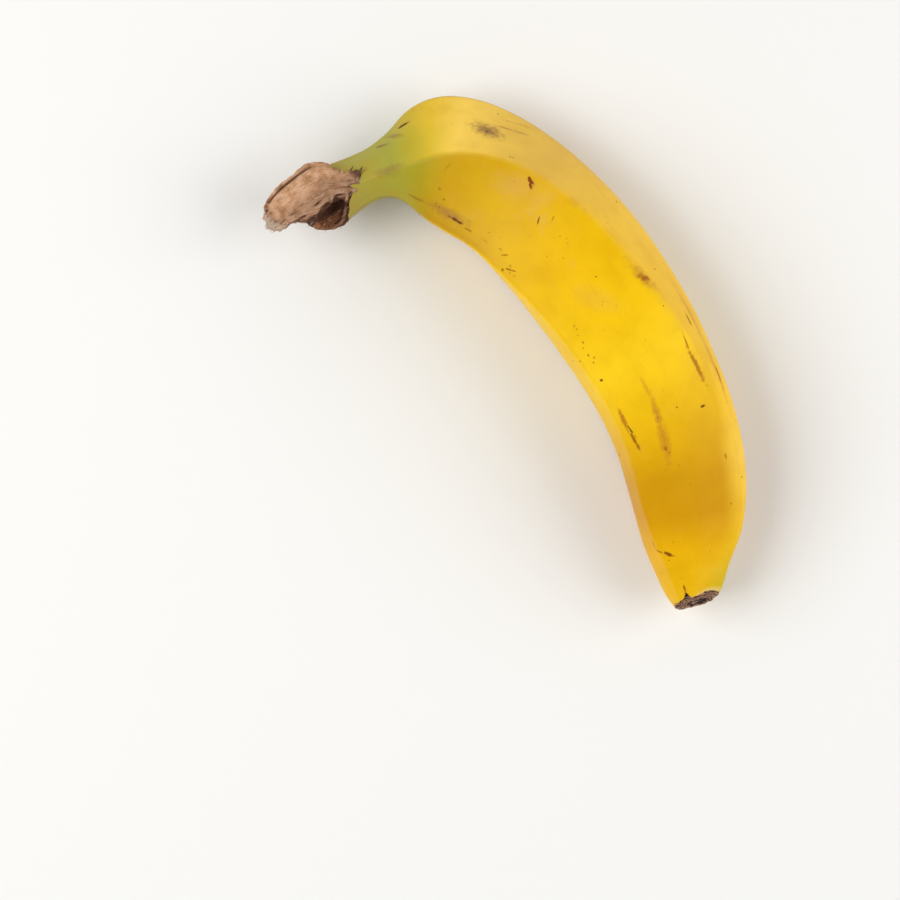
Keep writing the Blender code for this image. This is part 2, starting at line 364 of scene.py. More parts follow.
# The lip: a count, push past the last station, share of full size, and share of the waves.
LIP = ((0, 0, 1, 0), (1, 1.2, 0.945, 0.1), (2, 2.4, 0.885, 0.4), (3, 3.5, 0.825, 0.8), (4, 4.35, 0.775, 1),
       (5, 4.75, 0.735, 1), (6, 4.6, 0.7, 1), (7, 3.6, 0.68, 1), (8, 2, 0.67, 1))
LIP_RINGS = 33
# Waves of the lip: angle, half width in degrees, and height in millimetres. The deep one is the notch.
LIP_WAVES = ((115, 6, -1.5), (97, 14, 0.35), (56, 20, -0.5), (143, 13, 0.35))

tear_turn = round_angles(distances[:1])[0]
ragged = np.array([noise.noise((3 * math.cos(a), 3 * math.sin(a), 3))
                   + 0.4 * noise.noise((9 * math.cos(a), 9 * math.sin(a), 7)) for a in tear_turn])
tear = np.interp(np.degrees(tear_turn) % 360, *zip(*TEAR)) + TEAR_RAGGEDNESS * ragged
back = np.maximum(tear, 0) * np.maximum(1 - distances / TEAR_FADE, 0)[:, None]
torn_at = distances[:, None] + back
inside_tear = []
for deeper, share in TEAR_LINING:
    ring = slid(body, (back[:1] + deeper) / distances[1])
    inside_tear.append(ring * share + ring.mean(axis=1, keepdims=True) * (1 - share))

lip = through(LIP, np.linspace(0, LIP[-1][0], LIP_RINGS))[1:]
lip_at = np.full(len(lip), PEEL_LENGTH)
lip_turn = np.degrees(round_angles(lip_at)[0])
waves = np.array([0.25 * noise.noise((a / 9, 2, 4)) for a in lip_turn])
for middle, half_width, height in LIP_WAVES:
    waves += height * np.exp(-((lip_turn - middle) / half_width) ** 2)
lip_rings = settled(bare_rings(lip_at, lip[:, 1:2, None], lip[:, :1] + lip[:, 2:] * waves), lip_at)
skin = np.concatenate([*inside_tear, slid(body, torn_at / distances[1]), lip_rings])
print("rings of the skin:", len(skin), " deepest tear, mm:", round(float(tear.max()), 1))

# %% [markdown]
# The mesh carries what the material needs: the distance along the fruit and the direction round it, the
# ridges, the outer band, which is partly a paler buff and partly a painted pale sheen, the strip inside the
# bend, the fold above that strip, where shade is painted, and the green that is left. A flat map of its own,
# along the fruit one way and round it the other, lets the material be baked without overlaps.

# %% The skin as a mesh
ROUND_SCALE = 20
# Green that is left: place in plan, radius in millimetres, strength.
GREEN_SPOTS = ((-68.5, 6.5, 9, 0.4), (-72, -3, 9, 0.15), (92, -18.5, 6.5, 0.34))
BAND_STRENGTH = 0.9
STRIP_STRENGTH = 0.8
FOLD_SHADE_STRENGTH = 0.55
MAP_MARGIN = 0.004


def ring_mesh(name, rings):
    """A closed mesh through rings of points in millimetres, with a pole in each end."""
    count, points = rings.shape[:2]
    poles = [rings[0].mean(axis=0), rings[-1].mean(axis=0)]
    after = [(k + 1) % points for k in range(points)]
    faces = [(r + k, r + after[k], r + points + after[k], r + points + k)
             for r in range(0, (count - 1) * points, points) for k in range(points)]
    last = (count - 1) * points
    faces += [(count * points, after[k], k) for k in range(points)]
    faces += [(count * points + 1, last + k, last + after[k]) for k in range(points)]
    mesh = bpy.data.meshes.new(name)
    mesh.from_pydata((np.concatenate([rings.reshape(-1, 3), poles]) * MM).tolist(), [], faces)
    mesh.shade_smooth()
    return mesh


def lay_out(mesh, count, points):
    """A flat map of a ring mesh for baking, with the poles beyond its first and last rings."""
    places = [(r + far, k + side) for r in range(1, count) for k in range(points)
              for far, side in ((0, 0), (0, 1), (1, 1), (1, 0))]
    places += [place for k in range(points) for place in ((0, k + 0.5), (1, k + 1), (1, k))]
    places += [place for k in range(points) for place in ((count + 1, k + 0.5), (count, k), (count, k + 1))]
    places = MAP_MARGIN + (1 - 2 * MAP_MARGIN) * np.array(places) / (count + 1, points)
    mesh.uv_layers.new(name="OFBake").uv.foreach_set("vector", places.astype(np.float32).ravel())


def smoothstep(low, high, value):
    """A soft step from 0 at low to 1 at high."""
    t = np.clip((value - low) / (high - low), 0, 1)
    return t * t * (3 - 2 * t)


def put(mesh, name, kind, values, domain="POINT"):
    """Stores one value for each point or face under a name."""
    attribute = mesh.attributes.new(name, kind, domain)
    field = {"FLOAT": "value", "FLOAT_VECTOR": "vector", "FLOAT_COLOR": "color"}[kind]
    attribute.data.foreach_set(field, np.ascontiguousarray(values, dtype=np.float32).ravel())


def read(rows, field, width=1, kind=float):
    """One field of every row of a mesh's collection."""
    values = np.zeros(len(rows) * width, dtype=kind)
    rows.foreach_get(field, values)
    return values.reshape(-1, width) if width > 1 else values


peel_mesh = ring_mesh("banana_peel", skin)
lay_out(peel_mesh, *skin.shape[:2])
lip_distance = np.broadcast_to(PEEL_LENGTH + lip[:, :1], lip_rings.shape[:2])
skin_at = np.concatenate([*[torn_at[:1]] * len(TEAR_LINING), torn_at, lip_distance])
ring_at = np.concatenate([[0] * len(TEAR_LINING), distances, lip_at])
angle, corners = round_angles(ring_at), ridge_angles(ring_at)
half_width = through(STATIONS, ring_at)[:, 1:2]
along_round = np.dstack([skin_at, ROUND_SCALE * np.cos(angle), ROUND_SCALE * np.sin(angle)]).reshape(-1, 3)
put(peel_mesh, "along_round", "FLOAT_VECTOR", [*along_round, (0, 0, 0), (PEEL_LENGTH, 0, 0)])

to_ridge = np.abs(angle[:, :, None] - corners[:, None, :]).min(axis=2) * half_width
# The outer band's mask: over it goes a tint that is partly the peel's paler buff and partly a painted pale
# sheen.
into_band = np.minimum(angle - corners[:, :1], corners[:, 1:2] - angle) * half_width
band_start = -0.8 - 4 * smoothstep(138, 156, skin_at)
into_strip = np.minimum(angle - corners[:, 2:3], corners[:, 3:4] - angle) * half_width
near_bend = smoothstep(24, 46, skin_at) * (1 - smoothstep(85, 120, skin_at))
# Painted shade in the fold just above the strip inside the bend.
above_strip = np.clip(corners[:, 2:3] - angle, 0, None) * half_width
painted_fold_shade = np.exp(-(above_strip / 3) ** 2) * smoothstep(-0.5, 0.6, -into_strip) * (angle < corners[:, 2:3] + 0.1)
parts = {
    "ridge": np.exp(-(to_ridge / 1.1) ** 2),
    "band": BAND_STRENGTH * smoothstep(band_start, 1.2, into_band),
    "inner_strip": STRIP_STRENGTH * smoothstep(-0.5, 0.9, into_strip) * near_bend,
    "painted_fold_shade": FOLD_SHADE_STRENGTH * painted_fold_shade * smoothstep(26, 34, skin_at) * (1 - smoothstep(48, 88, skin_at)),
    "green": sum(strength * np.exp(-((skin[:, :, 0] - x) ** 2 + (skin[:, :, 1] - y) ** 2) / radius ** 2)
                 for x, y, radius, strength in GREEN_SPOTS),
}
for name, values in parts.items():
    put(peel_mesh, name, "FLOAT", [*values.ravel(), 0, 0])
print("skin:", len(peel_mesh.vertices), "points,", len(peel_mesh.polygons), "faces")

# %% [markdown]
# No peel is perfectly even. Geometry Nodes push each point of the skin in or out by slow swells, a few
# centimetres long, by faint lengthwise cords, the fibres under the skin, and by a low bead on each ridge.
# The tree's inputs are real sizes. It keeps the skin above the surface, sets the material, and the result
# is frozen into a plain mesh.

# %% Swells and cords in the skin
SKIN_RELIEF = {"Swell Height": 0.42, "Swell Length": 26, "Cord Height": 0.11, "Cord Width": 2.6,
               "Bead Height": 0.28}
CORD_STRETCH = (0.06, 1, 1)


def new_group(name, inputs):
    """A new Geometry Nodes tree, a function that adds nodes to it, and what its inputs give."""
    tree = bpy.data.node_groups.new(name, "GeometryNodeTree")
    tree.interface.new_socket("Geometry", in_out="OUTPUT", socket_type="NodeSocketGeometry")
    for socket_name, kind in {"Geometry": "Geometry", **inputs}.items():
        tree.interface.new_socket(socket_name, in_out="INPUT", socket_type="NodeSocket" + kind)
    return tree, partial(add_node, tree), add_node(tree, "NodeGroupInput").outputs


def end_group(tree, geometry, material):
    """Ends a tree: its instances become real, it gets its material, and it is given out."""
    real = add_node(tree, "GeometryNodeRealizeInstances", {"Geometry": geometry})
    dressed = add_node(tree, "GeometryNodeSetMaterial", {"Geometry": real, "Material": material})
    add_node(tree, "NodeGroupOutput", {"Geometry": dressed})


def frozen(name, mesh, tree, values):
    """A plain object of the mesh after a Geometry Nodes tree, whose named inputs get the values."""
    item = as_object(name, mesh)
    modifier = item.modifiers.new(tree.name, "NODES")
    modifier.node_group = tree
    for socket in tree.interface.items_tree:
        if socket.in_out == "INPUT" and socket.name in values:
            modifier[socket.identifier] = values[socket.name]
    return applied(item)


relief, add, given = new_group("skin relief", dict.fromkeys(SKIN_RELIEF, "Float"))
place = add("GeometryNodeInputPosition")
along = add("GeometryNodeInputNamedAttribute", {"Name": "along_round"}, data_type="FLOAT_VECTOR")
per_swell = add("Math", (1, given["Swell Length"]), operation="DIVIDE")
swells = add("TexNoise", (place, per_swell, 1.5))
stretched = add("VectorMath", (along, CORD_STRETCH), operation="MULTIPLY")
per_cord = add("Math", (MM, given["Cord Width"]), operation="DIVIDE")
cords = add("TexNoise", (stretched, per_cord, 1))
ridge = add("GeometryNodeInputNamedAttribute", {"Name": "ridge"}, data_type="FLOAT")
push = add("Math", (ridge, given["Bead Height"]), operation="MULTIPLY")
for texture, height in ((swells, "Swell Height"), (cords, "Cord Height")):
    about_zero = add("Math", (texture, 0.5), operation="SUBTRACT")
    push = add("Math", (about_zero, given[height], push), operation="MULTIPLY_ADD")
offset = add("VectorMath", (add("GeometryNodeInputNormal"), push), operation="SCALE")
moved = add("GeometryNodeSetPosition", {"Geometry": given["Geometry"], "Offset": offset})
x, y, z = add("SeparateXYZ", (place,)).outputs
above = add("Math", (z, 0), operation="MAXIMUM")
laid = add("CombineXYZ", (x, y, above))
rested = add("GeometryNodeSetPosition", {"Geometry": moved, "Position": laid})

peel_material, add_to_peel, peel_shader = new_material("waxy banana peel")
end_group(relief, rested, peel_material)
peel = frozen("banana_peel", peel_mesh, relief, {name: size * MM for name, size in SKIN_RELIEF.items()})
print("skin after the relief:", len(peel.data.vertices), "points")

# %% [markdown]
# A banana's marks are small and crisp, and the mesh's points, 0.6 mm apart, are too coarse to paint them
# on. So each face finds its nearest mark, and its corners store where they are from the mark's middle, in
# units of its half length and half width. The material then draws every mark as the same unit circle, as
# sharp as it likes. A mark is given by its ends, as distance along and angle round the fruit, and its width
# in millimetres.

# %% Where the marks are
# Each row: the start's distance and angle, the end's, width, strength, softness, tone from tan to black.
SCARS = (
    (25.8, 36, 27.6, 39, 1.2, 0.9, 0.4, 0.85), (61.6, 76, 62.8, 79, 1.5, 1, 0.2, 0.5),
    (62.6, 79, 63.6, 81, 0.9, 1, 0.25, 0.5), (71, 92, 72.2, 98, 0.4, 0.85, 0.4, 0.6),
    (74, 84, 74.8, 89, 0.4, 0.6, 0.5, 0.35), (39.1, 95, 37.4, 101, 0.4, 0.35, 0.5, 0.4),
    (24.7, 141, 29.7, 139, 0.8, 0.5, 0.6, 0.5), (45.8, 144, 51.6, 145, 0.8, 0.85, 0.4, 0.7),
    (53.9, 146, 57.2, 145, 0.6, 0.5, 0.5, 0.5), (61.7, 144, 64.2, 144, 0.3, 0.4, 0.5, 0.5),
    (68.2, 141, 69.7, 141, 0.4, 0.5, 0.5, 0.55), (70.7, 141, 72.2, 140, 0.6, 0.6, 0.5, 0.55),
    (75, 151, 77.4, 145, 0.5, 0.8, 0.45, 0.55), (76.7, 152, 78.8, 151, 0.4, 0.8, 0.45, 0.55),
    (76, 149, 77, 150, 0.8, 0.7, 0.45, 0.5), (102.5, 57, 104.5, 55, 1.5, 0.8, 0.8, 0.42),
    (103.6, 131, 103.9, 131, 0.5, 0.75, 0.45, 0.45), (106.9, 134, 107.1, 134, 0.4, 0.6, 0.45, 0.4),
    (109.3, 134, 109.8, 134, 0.5, 0.75, 0.45, 0.45), (113.7, 136, 114.1, 136, 0.5, 0.75, 0.45, 0.45),
    (117.9, 32, 121.6, 32, 0.8, 0.8, 0.45, 0.35), (122.9, 50, 127.9, 50, 0.6, 0.75, 0.45, 0.3),
    (127.8, 51, 136.7, 50, 1.2, 0.8, 0.45, 0.28), (133, 20, 139, 22, 0.7, 0.75, 0.45, 0.3),
    (142.5, 60, 142.9, 60, 0.8, 0.9, 0.35, 0.6), (156.4, 46, 157.6, 47, 0.6, 0.5, 0.5, 0.5),
    (135.1, 137, 141.4, 138, 1.2, 0.7, 0.6, 0.35), (141.4, 138, 148.3, 132, 0.9, 0.8, 0.45, 0.5),
    (138, 136, 144, 134, 0.5, 0.8, 0.4, 0.75), (150.9, 106, 151.2, 106, 0.6, 0.6, 0.45, 0.45),
    (179.2, 149, 181.5, 147, 0.6, 0.85, 0.4, 0.55), (181.9, 146, 182.9, 137, 0.5, 0.8, 0.4, 0.5),
    (183.1, 131, 184.1, 123, 1, 0.95, 0.35, 0.5), (195.4, 113, 197.2, 111, 0.6, 0.9, 0.4, 0.42),
)
# A round spot is given once: distance, angle, width, strength, softness, tone.
SPOTS = (
    (53.7, 70, 0.5, 0.8, 0.4, 0.6), (54.4, 69, 0.5, 0.8, 0.4, 0.6), (31.5, 27, 0.4, 0.6, 0.4, 0.6),
    (35.5, 22, 0.4, 0.4, 0.5, 0.5), (66.9, 131, 0.4, 0.45, 0.4, 0.4), (72.9, 109, 0.4, 0.45, 0.4, 0.4),
    (79.4, 91, 0.4, 0.55, 0.4, 0.4), (81.4, 89, 0.4, 0.55, 0.4, 0.4), (82.6, 92, 0.4, 0.5, 0.4, 0.4),
    (85.1, 102, 0.4, 0.5, 0.4, 0.4), (102.8, 97, 0.4, 0.55, 0.4, 0.45), (103.3, 100, 0.4, 0.5, 0.4, 0.45),
    (104.9, 132, 0.5, 0.7, 0.45, 0.45), (111.2, 135, 0.4, 0.6, 0.45, 0.45),
    (115.8, 134, 0.5, 0.75, 0.45, 0.45), (116.8, 135, 0.5, 0.8, 0.45, 0.45),
    (122.8, 138, 0.8, 0.9, 0.35, 0.7), (112.8, 160, 0.7, 0.85, 0.35, 0.55), (113.2, 52, 0.5, 0.8, 0.4, 0.6),
    (118.9, 84, 0.3, 0.6, 0.4, 0.6), (163.5, 89, 0.4, 0.45, 0.4, 0.45), (180.2, 117, 0.4, 0.45, 0.4, 0.45),
    (141.2, 103, 0.5, 0.6, 0.45, 0.45), (152.3, 104, 0.5, 0.5, 0.45, 0.45),
    (185.1, 128, 0.5, 0.7, 0.4, 0.55), (189.4, 157, 0.4, 0.6, 0.4, 0.5),
)
BRUISES = (
    (44.9, 56, 46.3, 56, 5, 0.8, 1, 0.8), (45.2, 57, 46, 57, 2.6, 0.9, 0.9, 1),
    (42.5, 54, 44.8, 56, 1.2, 0.5, 0.8, 0.75), (47.2, 46, 50.4, 43, 0.9, 0.5, 0.8, 0.65),
    (50.4, 43, 54, 37, 0.8, 0.45, 0.8, 0.6), (48.5, 32, 53.5, 23, 0.8, 0.3, 0.8, 0.5),
    (17.7, 98, 22.8, 98, 2.4, 0.4, 0.8, 0.7), (19.2, 36, 21.3, 46, 1, 0.65, 0.7, 0.9),
    (23, 32, 25, 48, 1.6, 0.45, 0.8, 0.8), (36.6, 136, 50.6, 143, 2.6, 0.55, 1, 0.62),
    (58, 90, 62, 84, 6.5, 0.25, 1, 0), (67.3, 84, 68.2, 76, 5, 0.18, 1, 0),
    (99.3, 59, 106, 54, 2.8, 0.55, 1, 0.45), (98.5, 104, 103.5, 94, 5, 0.15, 1, 0.1),
    (112.2, 25, 126.2, 23, 1.4, 0.45, 0.9, 0.32), (126.2, 23, 141.9, 23, 1.6, 0.45, 0.9, 0.32),
    (129.2, 104, 134.6, 103, 1, 0.4, 0.9, 0.38), (136.3, 103, 143.5, 104, 1.8, 0.62, 0.8, 0.4),
    (143.8, 104, 152.4, 105, 2.4, 0.62, 0.9, 0.38),
)
FRECKLES = 150
FRECKLE_WIDTHS = (0.3, 0.9)
OLD_SCRAPES = 16
MARK_SOFTNESS = 0.45
MARK_SEED = 12

rng = np.random.default_rng(MARK_SEED)
freckles = []
for _ in range(FRECKLES):
    at, side = rng.uniform(26, 190), rng.uniform(188, 352) if rng.random() < 0.8 else rng.uniform(0, 180)
    width = FRECKLE_WIDTHS[0] + (FRECKLE_WIDTHS[1] - FRECKLE_WIDTHS[0]) * rng.random() ** 3
    freckles.append((at, side, at, side, width, rng.uniform(0.35, 0.9), MARK_SOFTNESS, rng.uniform(0.3, 0.7)))
scrapes = []
for _ in range(OLD_SCRAPES):
    at, side, reach = rng.uniform(40, 180), rng.uniform(195, 345), rng.uniform(1, 8)
    scrapes.append((at, side, at + reach, side + rng.uniform(-5, 5), rng.uniform(0.4, 1.8),
                    rng.uniform(0.5, 0.9), MARK_SOFTNESS, rng.uniform(0.3, 0.8)))
spots = [(at, side, at, side, *look) for at, side, *look in SPOTS]
print("scars:", len(SCARS) + len(SPOTS), " bruises:", len(BRUISES), " freckles:", FRECKLES)

# %% [markdown]
# A mark's ends are looked up on the skin by their place in plan, on its upper or lower half. A mark can
# begin past the last station, where the peel narrows to its lip.

# %% Give each face its nearest mark
FAR_AWAY = 9
SHORTEST_MARK = 1e-6


def skin_finder(mesh, upper):
    """A search tree of the skin's points on its upper or lower half, by their place in plan."""
    points = [vert for vert in mesh.vertices if (vert.normal.z > 0) == upper]
    tree = kdtree.KDTree(len(points))
    for vert in points:
        tree.insert((vert.co.x, vert.co.y, 0), vert.index)
    tree.balance()
    return tree


def lay_marks(mesh, name, marks):
    """Stores, for each face's nearest mark, its corners' places in the mark and the mark's look."""
    finders = {upper: skin_finder(mesh, upper) for upper in (True, False)}
    centres = read(mesh.polygons, "center", 3) / MM
    best = np.full(len(centres), np.inf)
    chosen = np.zeros(len(centres), dtype=int)
    frames = []
    for number, (at_a, side_a, at_b, side_b, width, *_) in enumerate(marks):
        ends = []
        for at, side in ((at_a, side_a), (at_b, side_b)):
            past = max(at - PEEL_LENGTH, 0)
            at = np.array([at - past])
            centre, along, outward, _ = spine_frames(at)
            reach = through(STATIONS, at)[0, 1] * math.cos(math.radians(side))
            spot = (centre[0] + along[0] * past + outward[0] * reach) * MM
            ends.append(mesh.vertices[finders[side % 360 < 180].find((spot[0], spot[1], 0))[1]])
        middle = np.array((ends[0].co + ends[1].co) / 2) / MM
        normal = (ends[0].normal + ends[1].normal).normalized()
        run = ends[1].co - ends[0].co
        direction = run if run.length > SHORTEST_MARK else Vector(spine_frames(np.array([at_a]))[1][0])
        across = normal.cross(direction).normalized()
        half_long, half_wide = run.length / MM / 2 + width / 2, width / 2
        frames.append((middle, np.array(across.cross(normal)) / half_long, np.array(across) / half_wide))
        offset = centres - middle
        place = np.hypot(offset @ frames[-1][1], offset @ frames[-1][2])
        closer = (np.linalg.norm(offset, axis=1) < half_long * 2 + 3) & (place < best)
        best[closer] = place[closer]
        chosen[closer] = number
    corner_face = np.repeat(np.arange(len(centres)), read(mesh.polygons, "loop_total", kind=int))
    corner_point = read(mesh.vertices, "co", 3)[read(mesh.loops, "vertex_index", kind=int)] / MM
    middles, alongs, acrosses = np.array(frames)[chosen[corner_face]].transpose(1, 0, 2)
    offset = corner_point - middles
    places = np.column_stack([(offset * alongs).sum(axis=1), (offset * acrosses).sum(axis=1)])
    places[np.isinf(best)[corner_face]] = FAR_AWAY
    mesh.uv_layers.new(name=name + "_map").uv.foreach_set("vector", places.astype(np.float32).ravel())
    looks = np.array([(*mark[-3:], 1) for mark in marks])
    put(mesh, name + "_look", "FLOAT_COLOR", looks[chosen], "FACE")
    return int(np.sum(best < 1))


print("faces under scars:", lay_marks(peel.data, "scar", [*SCARS, *spots, *freckles, *scrapes]))
print("faces under bruises:", lay_marks(peel.data, "bruise", BRUISES))

# %% [markdown]
# Banana peel is a waxy plant skin, grown and not made. Green is left in its neck and at the very tip, and the
# body is a full yellow. Near the end it deepens to gold, partly its own ripe colour and partly painted shade.
# Each side has its own tint over that: an outer band that is partly a paler buff and partly a painted pale
# sheen, a warmer strip inside the bend, and painted shade in the fold above it.

# %% The peel's ground colours
# Ground colours along the fruit, in millimetres. The deep gold from about 147 to 171 mm is partly the ripe
# fruit's own colour and partly painted shade.
RIPENESS_AND_SHADE = (
    (0, "#9C8B46"), (12, "#A0943C"), (22, "#9E922C"), (30, "#A68E0E"), (40, "#C09404"), (52, "#CA9E06"),
    (68, "#D9AA0C"), (86, "#E1B103"), (108, "#E8BA06"), (122, "#EDC216"), (134, "#E4B60C"), (147, "#D8A602"),
    (159, "#C69001"), (171, "#C88F00"), (184, "#DEA800"), (198, "#E0AD02"),
)
# The outer band's tints: partly the peel's own paler buff, partly a painted pale sheen.
BAND_TINTS_AND_SHEEN = (
    (22, "#A39742"), (28, "#CAA82A"), (33, "#E8BE2C"), (40, "#F8CF56"), (50, "#E6BC4A"),
    (62, "#DCB044"), (84, "#EABC38"), (120, "#E6B634"), (142, "#ECBC28"), (158, "#F2C642"),
    (175, "#E8B81E"), (198, "#D8B00A"),
)
SMOOTH = {"interpolation_type": "SMOOTHSTEP"}

add = add_to_peel
place = add("TexCoord").outputs["Object"]
along_round = add("Attribute", attribute_name="along_round").outputs["Vector"]
distance, outward, _ = add("SeparateXYZ", (along_round,)).outputs
share = add("Math", (distance, PEEL_LENGTH), operation="DIVIDE")
colours, band_tint_and_sheen = (add("ValToRGB", (share,), [(at / PEEL_LENGTH, tint) for at, tint in tints])
                      for tints in (RIPENESS_AND_SHADE, BAND_TINTS_AND_SHEEN))
# Over the ground: the outer band with its partly painted sheen, the strip inside the bend, painted shade in
# the fold, and the green that is left.
for part, tint in (("band", band_tint_and_sheen), ("inner_strip", colour("#F2C60A")), ("painted_fold_shade", colour("#AE7E08")),
                   ("green", colour("#93A02A"))):
    cover = add("Attribute", attribute_name=part).outputs["Fac"]
    colours = add("Mix", (cover, colours, tint), data_type="RGBA")
print("ground colours:", len(RIPENESS_AND_SHADE), "along the body,", len(BAND_TINTS_AND_SHEEN), "along the outer band")

# %% [markdown]
# Over the ground lie slow clouds of lighter and deeper yellow, thin browner fibres, tan scuffs where fruit
# rubbed fruit, orange-brown wear in dashes along the ridges, and pin specks, one in every few cells. All
# come from noise at real sizes, in millimetres.

# %% Clouds, fibres, scuffs, wear and specks
MOTTLE_SIZE = 9
SCUFF_SIZE = 11
EDGE_FRAY_SIZE = 1.3
PORE_SIZE = 0.55
FIBRE_WIDTH = 0.9
FIBRE_STRETCH = (0.07, 1, 1)
SPECK_SPACING = 2.4
SCUFF_SHARES = ((0.16, 0), (0.28, 0.7), (0.38, 0.8), (0.5, 0.2), (1, 0.2))

clouds, rubbed, fray, pores = (
    add("TexNoise", {0: place, "Scale": 1 / (size * MM), "Detail": detail, "Roughness": roughness,
                     "Distortion": distortion})
    for size, detail, roughness, distortion in ((MOTTLE_SIZE, 4, 0.55, 0), (SCUFF_SIZE, 8, 0.72, 0.4),
                                                (EDGE_FRAY_SIZE, 3, 0.5, 0), (PORE_SIZE, 2, 0.5, 0)))
lightness = add("MapRange", (clouds, 0.3, 0.7, 0.955, 1.05))
colours = add("HueSaturation", {"Value": lightness, "Color": colours})
deeper = add("MapRange", (clouds, 0.5, 0.3, 0, 0.14), **SMOOTH)
stretched = add("VectorMath", (along_round, FIBRE_STRETCH), operation="MULTIPLY")
fibres = add("TexNoise", (stretched, 1 / FIBRE_WIDTH, 3, 0.6))
lines = add("MapRange", (fibres, 0.56, 0.74, 0, 0.14), **SMOOTH)

where = add("ValToRGB", (share,), SCUFF_SHARES)
rubbed_through = add("MapRange", (rubbed, 0.55, 0.72, 0, 0.45), **SMOOTH)
scuffs = add("Math", (rubbed_through, where), operation="MULTIPLY")
dashes = add("MapRange", (rubbed, 0.5, 0.6, 0, 0.3), **SMOOTH)
on_ridge = add("Attribute", attribute_name="ridge").outputs["Fac"]
dashes_there = add("Math", (dashes, where), operation="MULTIPLY")
worn = add("Math", (dashes_there, on_ridge), operation="MULTIPLY")

cells = add("TexVoronoi", (place, 1 / (SPECK_SPACING * MM)))
chance = add("SeparateColor", (cells.outputs["Color"],))
size = add("MapRange", (chance, 0.8, 1, 0, 0.11))
inside = add("Math", (size, cells.outputs["Distance"]), operation="SUBTRACT")
specks = add("MapRange", (inside, 0, 0.05, 0, 0.5), **SMOOTH)
layers = [(deeper, colour("#D89A00")), (lines, colour("#C98E10")), (scuffs, colour("#D2A45E")),
          (worn, colour("#B87414")), (specks, colour("#7A5A14"))]
print("layers over the ground:", len(layers))

# %% [markdown]
# Each mark is a unit circle in its own map, with an edge that fine noise frays. Its look gives its
# strength, its softness and its place on a ramp of tones. Near the tear the skin dries to brown, and the
# lip round the scar is drier and paler. The wax gives a soft broad gloss, which dry marks and scuffs break.

# %% Marks, dry ends and gloss
MARK_TONES = {"bruise": ((0, "#C8996A"), (0.35, "#B4701A"), (0.6, "#8A5636"), (1, "#583030")),
              "scar": ((0, "#B87A2C"), (0.4, "#96480A"), (0.65, "#582406"), (1, "#2A1206"))}
LIP_START = PEEL_LENGTH + 3.7

ragged_edge = add("MapRange", (fray, 0.25, 0.75, -0.5, 0.5))
covers = {}
for name, tones in MARK_TONES.items():
    look = add("Attribute", attribute_name=name + "_look").outputs["Color"]
    strength, softness, tone = add("SeparateColor", (look,)).outputs
    mark_map = add("UVMap", uv_map=name + "_map")
    from_middle = add("VectorMath", (mark_map,), operation="LENGTH").outputs["Value"]
    edge = add("Math", (from_middle, ragged_edge), operation="ADD")
    inner, outer = (add("Math", (1, softness), operation=kind) for kind in ("SUBTRACT", "ADD"))
    covers[name] = add("MapRange", (edge, outer, inner, 0, strength), **SMOOTH)
    layers.append((covers[name], add("ValToRGB", (tone,), tones)))

near_tear = add("Math", (ragged_edge, 3, distance), operation="MULTIPLY_ADD")
dried = add("MapRange", (near_tear, 2.6, 0.2, 0, 0.85), **SMOOTH)
outer_side = add("MapRange", (outward, -4, 9, 0, 0.6))
lip_pale = add("MapRange", (distance, LIP_START, LIP_START + 0.8, 0, outer_side))
for cover, tint in (*layers, (dried, colour("#8E6E50")), (lip_pale, colour("#DCC680"))):
    colours = add("Mix", (cover, colours, tint), data_type="RGBA")

dull = scuffs
for dry in (covers["scar"], dried):
    dull = add("Math", (dull, dry), operation="MAXIMUM")
gloss = add("MapRange", (clouds, 0, 1, 0.32, 0.48))
rough = add("Mix", (dull, gloss, 0.75), data_type="FLOAT")
height = add("Math", (fibres, 0.9, pores), operation="MULTIPLY_ADD")
height = add("Math", (covers["scar"], 1.2, height), operation="MULTIPLY_ADD")
bump = add("Bump", {"Strength": 0.55, "Distance": 0.00009, "Height": height})
fill(peel_shader, {"Base Color": colours, "Roughness": rough, "Normal": bump, "IOR": 1.42,
                   "Specular IOR Level": 0.16, "Subsurface Weight": 0.05, "Subsurface Radius": (1, 0.5, 0.1),
                   "Subsurface Scale": 0.0015})
print("nodes in the peel:", len(peel_material.node_tree.nodes))

# %% [markdown]
# Where the banana was torn off its hand, a tongue of crown tissue stayed on it and dried like driftwood:
# smooth above, with a groove beside its rolled outer edge, creased along its lower side, frayed at both
# ends. Below it the stalk's own torn end is a dark hollow. Both start as simple lofted solids.

# %% The crown: a tongue over the stalk's torn end
# Each row, from the upper end down: outer edge x and y, inner edge x and y, underside and top height.
TONGUE = (
    (-75.9, -8.8, -73.5, -9, 22, 25.4), (-76.8, -11.7, -71.8, -12, 20.5, 25.8),
    (-79.4, -13.4, -72, -14.4, 18, 26.2), (-83.8, -14.2, -71.9, -16.6, 14, 26.5),
    (-87.2, -17.5, -73.7, -20, 10.5, 26.8), (-88.4, -23.4, -74.3, -25, 9.5, 26.6),
    (-88.9, -29.5, -75.6, -30.2, 12, 25.9), (-88.4, -34.1, -78, -34.6, 15.5, 25),
    (-86.3, -37.6, -79.3, -38, 19, 24.2), (-83.6, -39.4, -81.2, -39.6, 21, 23.2),
)
TONGUE_RINGS = 170
TONGUE_POINTS = 120
TOP_SQUARENESS = 0.62
KEEL_SQUARENESS = 1.15
EDGE_HEIGHT = 0.7
EDGE_WOBBLE = 0.45
# The groove: its middle and width as shares of the tongue's width, and its depth; then the rows it spans.
GROOVE = (0.1, 0.032, 1.2)
GROOVE_START = (2.4, 3.8)
GROOVE_END = (7.4, 8.4)
# The stalk's end: push along the stalk and share of full size.
STALK_END = ((-9.6, 0.18), (-9.2, 0.44), (-7.8, 0.66), (-5.4, 0.84), (-2.6, 0.95), (0, 0.995))
COLLAR = ((2, 0.97), (4.5, 0.94), (7.5, 0.91), (9.6, 0.86), (10.6, 0.76))
HOLLOW_CENTRE = (-71.9, -22.7, 21.2)
HOLLOW_RADII = (5, 5.7, 4.9)
HOLLOW_TURN = 22


